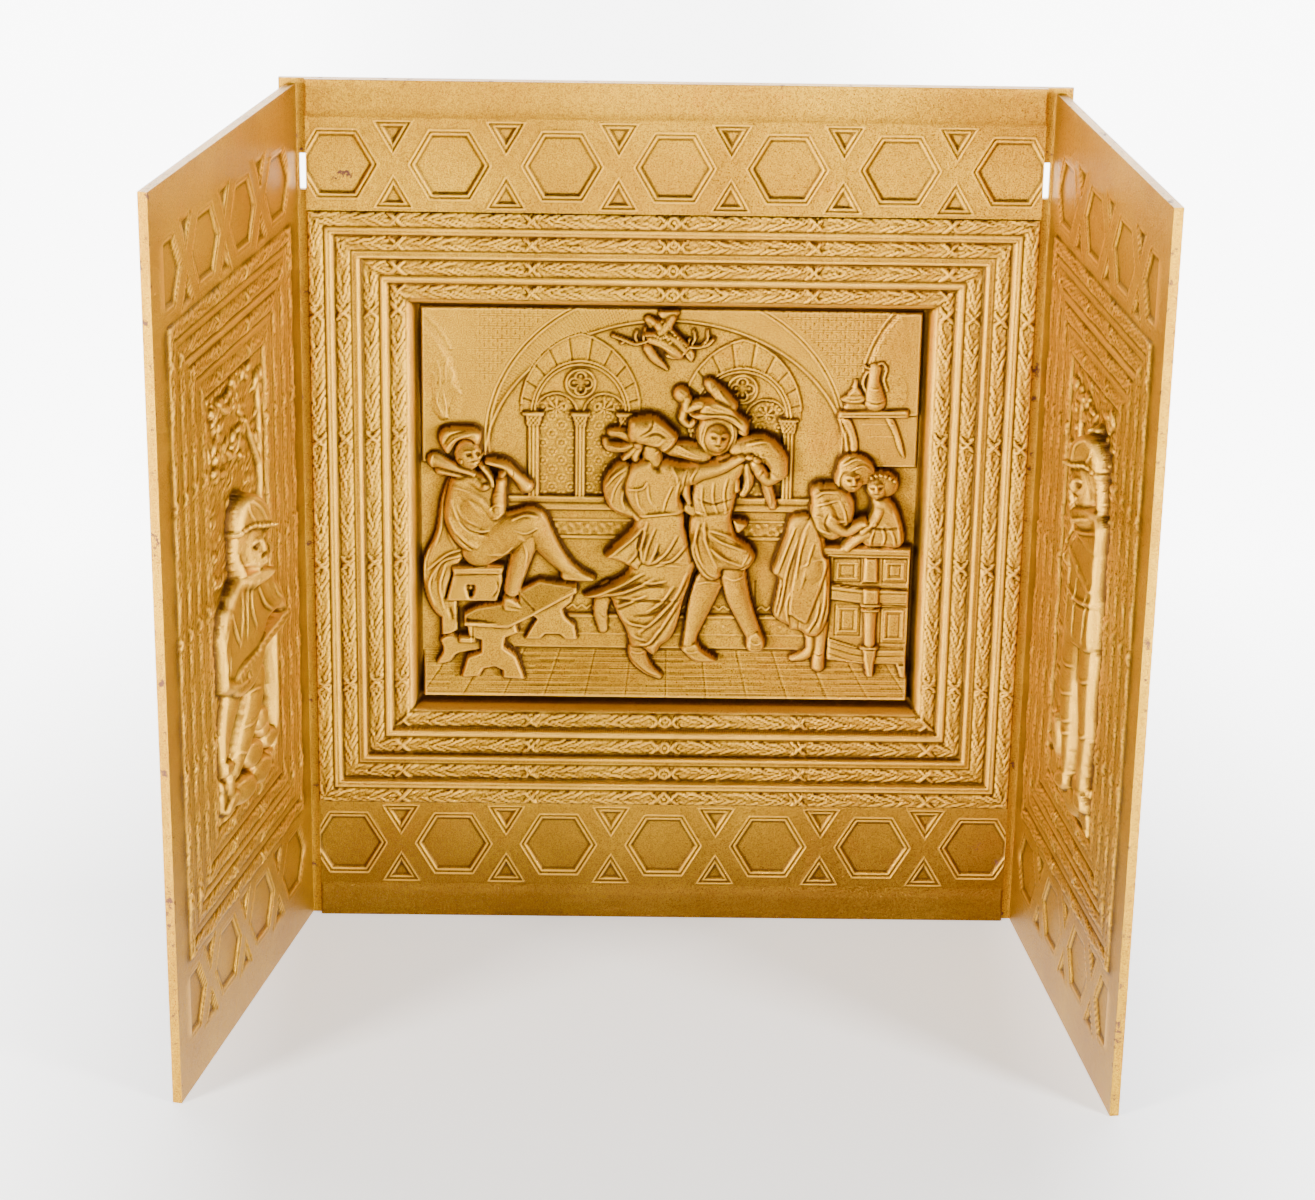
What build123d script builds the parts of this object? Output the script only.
from build123d import *
import math
import os

os.makedirs("parts", exist_ok=True)

# Cast iron fireback in three plates: a back plate with a deep framed relief, and two cheeks splayed from it.
# Millimetres, +Z up, +Y towards the wall. Each plate is first made with its frieze face on y = 0, facing -Y,
# and the three are then set together so that the origin lies under the middle of the whole, on the hearth.

# Back plate
plate_width = 550.0
plate_height = 640.0
plate_thickness = 8.0
back_margin = 26.0          # plain border above and below the friezes
frieze_height = 67.0
margin_rise = 0.8           # the border stands this much proud of the frieze

# Joint of the cheeks with the back plate
rebate_width = 18.0
rebate_depth = 3.5
joint_gap = 6.3             # open joint between the back plate's field and a cheek's inner face
slot_width = 4.6
slot_length = 26.0
slot_height = 574.0         # middle of the fixing slots above the hearth

# Cheeks
cheek_height = 636.0
cheek_depth = 300.0
cheek_thickness = 6.5
left_splay = 12.5           # degrees that each cheek opens from square
right_splay = 7.4
cheek_margin = 28.0
cheek_rear_margin = 20.0
cheek_front_margin = 25.0

# Laurel frame
band_count = 4
band_width = 10.8
band_rise = 2.8
band_pitch = 18.8
band_step = 4.6             # each band of the back plate lies this much deeper than the last
fillet_width = 4.6
fillet_rise = 0.9
quirk_width = 1.2
cove_width = 9.6
scene_depth = 30.0
scene_wall = 7.0
cheek_band_rise = 2.4

# Friezes
hexagon_radius = 28.0
hexagon_sill = 3.2
sill_depth = 0.6
field_depth = 1.9
back_pitch = 78.5
cheek_pitch = 75.5
triangle_side = 26.0
triangle_gap = 3.2          # from the frieze's edge to the base of a triangle
triangle_sill = 2.6
least_cut = 2.0             # a hexagon showing less than this at the frieze's end is left out
cheek_hexagon = 24.0        # from a cheek frieze's rear end to the middle of its first hexagon

# Tavern scene, drawn for a room of this size and scaled to the frame's opening: x from its middle,
# heights above its foot
room_half = 180.2
room_height = 300.4
floor_rise = 36.0           # the boards climb this much from the scene's foot to the back wall
floor_reach = 8.0           # and their front edge stands this far out from the ground
window_left = -64.0
window_right = 56.0
window_sill = 156.0
window_spring = 223.0
vault_foot = 141.0
shelf_top = 225.0

# Opening that a cheek's figure is drawn for
cheek_room_half = 50.7
cheek_room_height = 292.4
cheek_ground = 1.0          # the figure's ground lies this deep
seam_side = Vector(0, 0.37, 1)      # a limb's seam runs along this side of it

EMBED = 1.5                 # how far carving is sunk into its ground so that it is one casting with it

frame_width = (band_count - 1) * band_pitch + band_width + cove_width
frame_length = plate_width - 2 * rebate_width
frame_height = plate_height - 2 * (back_margin + frieze_height)
frame_middle = plate_height / 2
scene_length = frame_length - 2 * frame_width
scene_height = frame_height - 2 * frame_width
scene_foot = frame_middle - scene_height / 2
scene_head = frame_middle + scene_height / 2
scene_unit = min(scene_length / (2 * room_half), scene_height / room_height)


def prism(points, front, back):
    """Outline of (x, z) points, filled and carried from depth y = front to y = back."""
    face = make_face(Polyline([(x, z) for x, z in points], close=True))
    return extrude(Plane((0, front, 0), x_dir=(1, 0, 0), z_dir=(0, -1, 0)) * face, amount=front - back)


def block(x0, x1, z0, z1, front, back):
    """Rectangular piece between two x, two z and two depths."""
    return Pos((x0 + x1) / 2, (front + back) / 2, (z0 + z1) / 2) * Box(x1 - x0, back - front, z1 - z0)


def hexagon(x, z, radius):
    """Six corners of a hexagon with a corner to each side."""
    return [(x + radius * math.cos(math.radians(60 * k)), z + radius * math.sin(math.radians(60 * k)))
            for k in range(6)]


def triangle(x, z_base, side, up):
    """Triangle on a level base, with its tip above it (up = 1) or below it (up = -1)."""
    height = side * math.sqrt(3) / 2
    return [(x - side / 2, z_base), (x + side / 2, z_base), (x, z_base + up * height)]


def inner_triangle(x, z_base, side, up, inset):
    """The same triangle with each edge moved in by inset."""
    return triangle(x, z_base + up * inset, side - 2 * math.sqrt(3) * inset, up)


def sunk(outline, sill, clip):
    """Cutter of a stepped sunk field: a shallow sill, then the field inside it."""
    cutter = prism(outline, -1, sill_depth) + prism(sill, -1, field_depth)
    return cutter & clip


def frieze_cutters(x0, x1, z0, anchor, pitch):
    """Hexagons at every pitch from anchor and pairs of triangles between them, cut off at the frieze's ends."""
    clip = block(x0, x1, z0, z0 + frieze_height, -5, 5)
    middle = z0 + frieze_height / 2
    sill = hexagon_sill * 2 / math.sqrt(3)
    first = math.floor((x0 - anchor) / pitch) - 1
    last = math.ceil((x1 - anchor) / pitch) + 1
    cutters = []
    for k in range(first, last + 1):
        x = anchor + k * pitch
        if x0 + least_cut < x + hexagon_radius and x - hexagon_radius < x1 - least_cut:
            cutters.append(sunk(hexagon(x, middle, hexagon_radius), hexagon(x, middle, hexagon_radius - sill), clip))
        between = x + pitch / 2
        if x0 < between - triangle_side / 2 and between + triangle_side / 2 < x1:
            for base, up in ((z0 + triangle_gap, 1), (z0 + frieze_height - triangle_gap, -1)):
                cutters.append(sunk(triangle(between, base, triangle_side, up),
                                    inner_triangle(between, base, triangle_side, up, triangle_sill), clip))
    return cutters


def frame_outline(step, rise, floor, behind):
    """Section of the laurel frame as (inward, depth): half-round bands, fillets between, a cove to the floor."""
    with BuildLine() as line:
        at = (0.0, 0.0)
        for k in range(band_count):
            start, level = k * band_pitch, k * step
            end = (start + band_width, level)
            ThreePointArc(at, (start + band_width / 2, level - rise), end)
            if k < band_count - 1:
                fillet = end[0] + quirk_width
                at = (start + band_pitch, level + step)
                Polyline(end, (end[0] + quirk_width / 2, level + quirk_width / 2), (fillet, level - fillet_rise),
                         (fillet + fillet_width, level - fillet_rise), at)
        reach = frame_width - end[0]
        bow = (end[0] + reach * 0.32, level + (floor - level) * 0.62)
        ThreePointArc(end, bow, (frame_width, floor))
        Polyline((frame_width, floor), *behind, (0.0, 0.0))
    return make_face(line.line)


def frame_ring(length, height, z_middle, outline, reach):
    """Four mitred sides of one section around a rectangle."""
    sides = []
    for span, offset, turn in ((length, height / 2, 0), (height, length / 2, 90),
                               (length, height / 2, 180), (height, length / 2, -90)):
        section = Plane((0, 0, 0), x_dir=(0, 0, -1), z_dir=(1, 0, 0)) * outline
        bar = extrude(section, amount=span / 2, both=True)
        mitre = prism([(-span / 2, 0), (span / 2, 0), (span / 2 - frame_width, -frame_width),
                       (frame_width - span / 2, -frame_width)], -10, reach)
        sides.append(Pos(0, 0, z_middle) * Rot(Y=turn) * Pos(0, 0, offset) * (bar & mitre))
    return sides


def limb(ground, start, end):
    """Round limb between two balls (x, z, radius, relief), standing out by relief from the ground at each."""
    (xa, za, ra, ha), (xb, zb, rb, hb) = start, end
    a = Vector(xa, ground - ha + ra, za)
    b = Vector(xb, ground - hb + rb, zb)
    length = (b - a).length
    lean = math.asin((ra - rb) / length)
    turn = math.pi / 2 - lean
    top_a = (ra * math.cos(turn), ra * math.sin(turn))
    top_b = (length + rb * math.cos(turn), rb * math.sin(turn))
    bow_a = (math.pi + turn) / 2
    with BuildLine() as line:
        ThreePointArc((-ra, 0), (ra * math.cos(bow_a), ra * math.sin(bow_a)), top_a)
        Line(top_a, top_b)
        ThreePointArc(top_b, (length + rb * math.cos(turn / 2), rb * math.sin(turn / 2)), (length + rb, 0))
        Line((length + rb, 0), (-ra, 0))
    solid = revolve(make_face(line.line), axis=Axis.X)
    return Plane(a, x_dir=b - a, z_dir=(b - a).cross(seam_side)) * solid


def figure(ground, limbs):
    """Limbs of one figure as a single raised mass, cut off just inside the ground it stands out from."""
    parts = [limb(ground, start, end) for start, end in limbs]
    mass = parts[0].fuse(*parts[1:])
    span = mass.bounding_box()
    return mass & block(span.min.X - 1, span.max.X + 1, span.min.Z - 1, span.max.Z + 1,
                        span.min.Y - 1, ground + EMBED)


def arch(x, z, half_width, height, thickness, relief, clip):
    """Raised half-elliptic arch band springing at (x, z), seen inside the clip."""
    front = Plane((x, -relief, z), x_dir=(1, 0, 0), z_dir=(0, -1, 0))
    outer = front * Ellipse(half_width, height)
    inner = front * Ellipse(half_width - thickness, height - thickness)
    return extrude(outer - inner, amount=-(relief + EMBED)) & clip


# ---- Back plate -----------------------------------------------------------------------------------------

def back_frame():
    """Laurel frame that steps back band by band to the scene, with a wall behind it that follows the steps."""
    back = scene_depth + scene_wall
    last = (band_count - 1) * band_pitch
    behind = [(frame_width, back), (last, back), (last - band_pitch, 2 * band_step + 2 * scene_wall),
              (band_pitch, plate_thickness + band_step), (0.0, plate_thickness)]
    outline = frame_outline(band_step, band_rise, scene_depth, behind)
    return frame_ring(frame_length, frame_height, frame_middle, outline, back + 5)


def tavern_room():
    """Vaults, windows, bench and wall shelf of the room behind the dancers."""
    upper = block(-room_half, room_half, vault_foot, room_height, -20, EMBED)
    pieces = [
        arch(-2, 191, 135, 120, 4, 1.6, upper),
        arch(-8, 182, 134, 108, 2.5, 1.2, upper),
        block(-120, 118, window_sill - 14, window_sill, -3.0, EMBED),
        block(-120, 118, floor_rise, floor_rise + 34, -2.4, EMBED),
    ]
    for x in (window_left, window_right):
        head = block(x - 40, x + 40, window_spring, room_height, -20, EMBED)
        pieces.append(arch(x, window_spring, 38, 52, 11, 1.6, head))
        pieces.append(block(x - 2.5, x + 2.5, window_sill, window_spring, -2.0, EMBED))
        for side in (-1, 1):
            jamb = x + side * 31
            pieces.append(block(jamb - 3, jamb + 3, window_sill, window_spring, -2.4, EMBED))
            pieces.append(block(jamb - 6, jamb + 6, window_spring - 8, window_spring, -3.4, EMBED))
    # Wall shelf with its bracket, jug, dish and plate
    under = shelf_top - 5
    pieces += [
        block(121, 173, under, shelf_top, -8, EMBED),
        prism([(139, under), (162, under), (167, under - 21), (139, under - 21)], -5, EMBED),
        figure(0, [((148, shelf_top + 9, 8, 7), (146, shelf_top + 27, 4, 5)),
                   ((127, shelf_top + 6, 4, 5), (139, shelf_top + 6, 5, 6)),
                   ((166, shelf_top + 10, 9, 4), (166, shelf_top + 14, 9, 4))]),
    ]
    return pieces


def trestle(x, z, size):
    """Cut-out board that carries a bench, its top edge centred on (x, z)."""
    half = [(17, 0), (7, -12), (8, -20), (20, -44), (7, -44), (0, -35)]
    outline = half + [(-across, down) for across, down in reversed(half[:-1])]
    return prism([(x + across * size, z + down * size) for across, down in outline], -9, EMBED)


def furniture():
    """Chest seat and trestle bench on the left, panelled cupboard on the right."""
    panels = block(126, 142, 96, 112, -12, -6.5) + block(158, 172, 96, 112, -12, -6.5)
    return [
        prism([(-163, 74), (-155, 103), (-120, 103), (-120, 74)], -10, EMBED),
        prism([(-149, 61), (-117, 59), (-67, 88), (-69, 91), (-92, 92), (-149, 70)], -13, EMBED),
        trestle(-126, 61, 1.0),
        trestle(-85, 78, 0.72),
        block(121, 177, 34, 120, -8, EMBED) - panels,
        block(113, 178, 116, 123, -10, EMBED),
        block(120, 178, 80, 92, -9.5, EMBED),
        block(145, 155, 20, 92, -10.5, EMBED),
        block(168, 178, 20, 92, -10.5, EMBED),
    ]


def boarded_floor():
    """Slope of floor boards that comes forward from the foot of the back wall."""
    top, front = scene_foot + floor_rise * scene_unit, scene_depth - floor_reach
    section = [(scene_depth + EMBED, top), (scene_depth, top), (front, scene_foot), (front, scene_foot - EMBED),
               (scene_depth + EMBED, scene_foot - EMBED)]
    face = Plane((0, 0, 0), x_dir=(0, 1, 0), z_dir=(1, 0, 0)) * make_face(Polyline(section, close=True))
    return extrude(face, amount=scene_length / 2 + EMBED, both=True)


def piper():
    """Seated piper with one leg over the other."""
    return [
        ((-147, 192, 11, 12), (-146, 198, 10, 11)), ((-160, 204, 4, 8), (-143, 210, 6, 11)),
        ((-170, 185, 5, 8), (-143, 175, 3, 11)), ((-131, 182, 4, 10), (-102, 167, 4.5, 9)),
        ((-147, 168, 15, 11), (-143, 128, 17, 12)), ((-136, 170, 9, 14), (-125, 146, 8, 15)),
        ((-126, 146, 7, 15), (-128, 172, 6, 13)), ((-138, 148, 14, 15), (-142, 156, 12, 15)),
        ((-134, 122, 15, 14), (-99, 141, 9, 14)), ((-97, 139, 8.5, 13.5), (-78, 105, 6, 11)),
        ((-76, 102, 6, 11), (-58, 94, 4, 8)), ((-112, 122, 8, 14), (-114, 82, 7, 14)),
        ((-116, 76, 5, 15), (-102, 72, 4, 15)), ((-166, 152, 8, 8), (-172, 92, 9, 7)),
    ]


def dancing_woman():
    """Woman in a headscarf and a long swept skirt, one arm held out."""
    return [
        ((-14, 206, 12, 15), (-13, 212, 10, 14)), ((-12, 214, 8, 13), (-2, 206, 8, 12)),
        ((-26, 206, 5, 9), (-40, 204, 4, 6)), ((-18, 182, 16, 14), (-6, 156, 13, 14)),
        ((-32, 180, 10, 12), (-42, 164, 8, 12)), ((-42, 164, 8, 12), (-26, 152, 6, 12)),
        ((2, 182, 10, 15), (30, 180, 8, 15)), ((30, 180, 8, 15), (60, 191, 5, 14)),
        ((-4, 148, 15, 14), (-12, 106, 22, 16)), ((-12, 106, 22, 16), (-16, 70, 20, 15)),
        ((-22, 114, 12, 13), (-38, 112, 7, 8)), ((-26, 92, 12, 12), (-54, 83, 4, 7)),
        ((-16, 70, 20, 15), (-4, 54, 12, 11)), ((-49, 73, 5, 7), (-47, 54, 3.5, 5)),
        ((-22, 44, 8, 10), (-20, 34, 7, 11)), ((-20, 32, 6, 11), (-8, 20, 4, 9)),
    ]


def dancing_man():
    """Man in a feathered hat, full breeches and buckled shoes, one arm raised."""
    return [
        ((31, 204, 12, 15), (31, 210, 11, 14)), ((16, 221, 4, 12), (50, 220, 5, 13)),
        ((26, 229, 8, 11), (42, 229, 7, 12)), ((6, 238, 6, 8), (16, 232, 5, 9)),
        ((30, 244, 5, 9), (38, 234, 6, 11)), ((14, 222, 5, 9), (14, 216, 4, 8)),
        ((44, 180, 16, 13), (30, 152, 14, 13)), ((60, 192, 11, 14), (78, 180, 8, 12)),
        ((79, 181, 7, 12), (66, 171, 5.5, 11)), ((6, 196, 8, 12), (28, 190, 9, 13)),
        ((28, 136, 16, 14), (47, 118, 14, 13)), ((24, 126, 12, 14), (30, 98, 8, 13)),
        ((27, 92, 10, 12), (21, 70, 8, 11)), ((21, 70, 8, 11), (17, 46, 5, 9)),
        ((16, 36, 5, 9), (32, 33, 4, 8)), ((48, 100, 9, 12), (55, 74, 8, 11)),
        ((55, 74, 8, 11), (66, 52, 6, 9)), ((64, 46, 6, 9), (67, 40, 5, 9)),
    ]


def serving_girl():
    """Girl in an apron who leans on the cupboard."""
    return [
        ((133, 178, 11, 14), (134, 183, 11, 13)), ((118, 156, 14, 14), (108, 136, 14, 13)),
        ((120, 152, 8, 15), (140, 136, 6, 14)), ((140, 138, 5, 14), (122, 134, 6, 15)),
        ((104, 126, 15, 13), (98, 82, 16, 12)), ((98, 82, 16, 12), (100, 72, 15, 11)),
        ((108, 64, 6, 9), (108, 40, 5, 8)), ((104, 36, 4, 7), (97, 33, 3.5, 6)),
        ((115, 70, 6, 11), (114, 42, 5, 10)), ((113, 36, 5, 10), (113, 26, 5, 10)),
    ]


def leaning_child():
    """Child sitting on the cupboard, held by the girl."""
    return [
        ((154, 170, 10, 13), (154, 174, 10, 12)), ((156, 152, 12, 12), (156, 132, 14, 12)),
        ((150, 148, 5, 14), (138, 138, 4, 14)), ((146, 132, 8, 13), (132, 122, 5, 12)),
    ]


def back_plate():
    """The large plate: borders, friezes, laurel frame, deep scene and the rebates that take the cheeks."""
    half = plate_width / 2
    inner = frame_length / 2
    low, high = frame_middle - frame_height / 2, frame_middle + frame_height / 2
    field = [
        block(-half, half, 0, low, 0, plate_thickness),
        block(-half, half, high, plate_height, 0, plate_thickness),
        block(-half, -inner, low, high, 0, plate_thickness),
        block(inner, half, low, high, 0, plate_thickness),
        block(-inner, inner, 0, back_margin, -margin_rise, EMBED),
        block(-inner, inner, plate_height - back_margin, plate_height, -margin_rise, EMBED),
        block(-scene_length / 2, scene_length / 2, scene_foot, scene_head, scene_depth, scene_depth + scene_wall),
    ]
    plate = field[0].fuse(*field[1:], *back_frame())
    for z0 in (back_margin, plate_height - back_margin - frieze_height):
        for cutter in frieze_cutters(-inner, inner, z0, 0, back_pitch):
            plate -= cutter
    for side in (-1, 1):
        edge = (side * inner, side * (half + 1))
        plate -= block(min(edge), max(edge), -1, plate_height + 1, -5, rebate_depth)
        slot = (side * inner, side * (inner + slot_width))
        plate -= block(min(slot), max(slot), slot_height - slot_length / 2, slot_height + slot_length / 2,
                       -5, plate_thickness + 5)
    return plate


def back_carving():
    """Everything that stands out from the ground of the scene, at the size of the frame's opening."""
    people = [figure(0, limbs) for limbs in (piper(), dancing_woman() + dancing_man(),
                                             serving_girl() + leaning_child())]
    drawn = tavern_room() + furniture() + people
    placed = [Pos(0, scene_depth, scene_foot) * scale(piece, by=scene_unit) for piece in drawn]
    return [boarded_floor()] + placed


# ---- Cheeks ---------------------------------------------------------------------------------------------

def lute_player():
    """Child in a cap, seated on rocks with a lute across the lap."""
    return [
        ((0, 92, 16, 10), (2, 106, 12, 9)), ((2, 40, 24, 9), (2, 62, 22, 8)),
        ((24, 52, 11, 8), (42, 26, 8, 9)), ((42, 26, 8, 9), (20, 18, 6, 11)),
        ((-26, 50, 11, 8), (-38, 28, 8, 9)), ((10, 16, 17, 11), (18, 18, 15, 11)),
        ((0, 24, 5, 11), (-46, 30, 4, 10)), ((-16, 2, 13, 8), (16, -18, 10, 8)),
        ((16, 0, 14, 9), (-14, -18, 9, 8)), ((-18, -30, 9, 7), (-22, -56, 6, 6)),
        ((16, -26, 9, 7), (30, -52, 6, 6)), ((-30, -62, 12, 4), (26, -66, 13, 4)),
    ]


def standing_piper():
    """Child in a cap, standing with a pipe at the mouth, one leg forward."""
    return [
        ((0, 96, 15, 10), (2, 112, 11, 9)), ((2, 46, 21, 9), (2, 64, 21, 8)),
        ((24, 58, 10, 8), (32, 36, 8, 9)), ((32, 36, 8, 9), (8, 50, 6, 11)),
        ((-22, 58, 10, 8), (-30, 38, 7, 9)), ((-30, 38, 7, 9), (-10, 46, 6, 11)),
        ((0, 66, 4, 12), (-20, 30, 4, 11)), ((2, 14, 20, 9), (4, 28, 20, 9)),
        ((-10, -10, 14, 9), (-12, -38, 9, 8)), ((14, -8, 14, 9), (20, -44, 9, 8)),
        ((-12, -46, 8, 7), (-14, -78, 6, 6)), ((20, -50, 8, 7), (18, -80, 6, 6)),
        ((-30, -66, 12, 4), (28, -84, 10, 4)),
    ]


def cheek(hand, splay, limbs):
    """One cheek lying with its rear edge at x = 0 and running to hand * cheek_depth."""
    outer_rear = hand * cheek_thickness * math.tan(math.radians(splay))
    front = hand * cheek_depth
    plan = [(0, 0), (front, 0), (front, cheek_thickness), (outer_rear, cheek_thickness)]
    plate = extrude(make_face(Polyline(plan, close=True)), amount=cheek_height)
    width = cheek_depth - cheek_rear_margin - cheek_front_margin
    middle = hand * (cheek_rear_margin + width / 2)
    low = cheek_margin + frieze_height
    high = cheek_height - cheek_margin - frieze_height
    for z0 in (cheek_margin, high):
        for cutter in frieze_cutters(-width / 2, width / 2, z0, hand * (cheek_hexagon - width / 2), cheek_pitch):
            plate -= Pos(middle, 0, 0) * cutter
    across = width / 2 - frame_width
    plate -= block(middle - across, middle + across, low + frame_width, high - frame_width, -1, cheek_ground)
    back = cheek_thickness - 1
    outline = frame_outline(0, cheek_band_rise, cheek_ground, [(frame_width, back), (0.0, back)])
    for side in frame_ring(width, high - low, (high + low) / 2, outline, cheek_thickness + 3):
        plate = plate.fuse(Pos(middle, 0, 0) * side)
    unit = min(across / cheek_room_half, (high - low - 2 * frame_width) / cheek_room_height)
    relief = scale(figure(0, limbs), by=unit)
    return plate.fuse(Pos(middle, cheek_ground, (low + high) / 2) * relief)


def splayed(solid, hand, splay):
    """Stands a cheek with its rear edge on the floor of the rebate, opened by splay from square."""
    joint = hand * (frame_length / 2 + joint_gap)
    return Pos(joint, rebate_depth, 0) * Rot(Z=-hand * (90 - splay)) * solid


# ---- The three plates together --------------------------------------------------------------------------

back = back_plate()
left = splayed(cheek(-1, left_splay, lute_player()), -1, left_splay)
right = splayed(cheek(1, right_splay, standing_piper()), 1, right_splay)
spans = [solid.bounding_box() for solid in (back, left, right)]
middle_x = (min(span.min.X for span in spans) + max(span.max.X for span in spans)) / 2
middle_y = (min(span.min.Y for span in spans) + max(span.max.Y for span in spans)) / 2

for carving in back_carving():
    back = back.fuse(carving)

for name, solid in (("back_plate", back), ("left_side_plate", left), ("right_side_plate", right)):
    placed = Pos(-middle_x, -middle_y, 0) * solid
    export_step(placed, f"parts/{name}.step")
    print(name, placed.is_valid, len(placed.solids()), round(placed.volume))
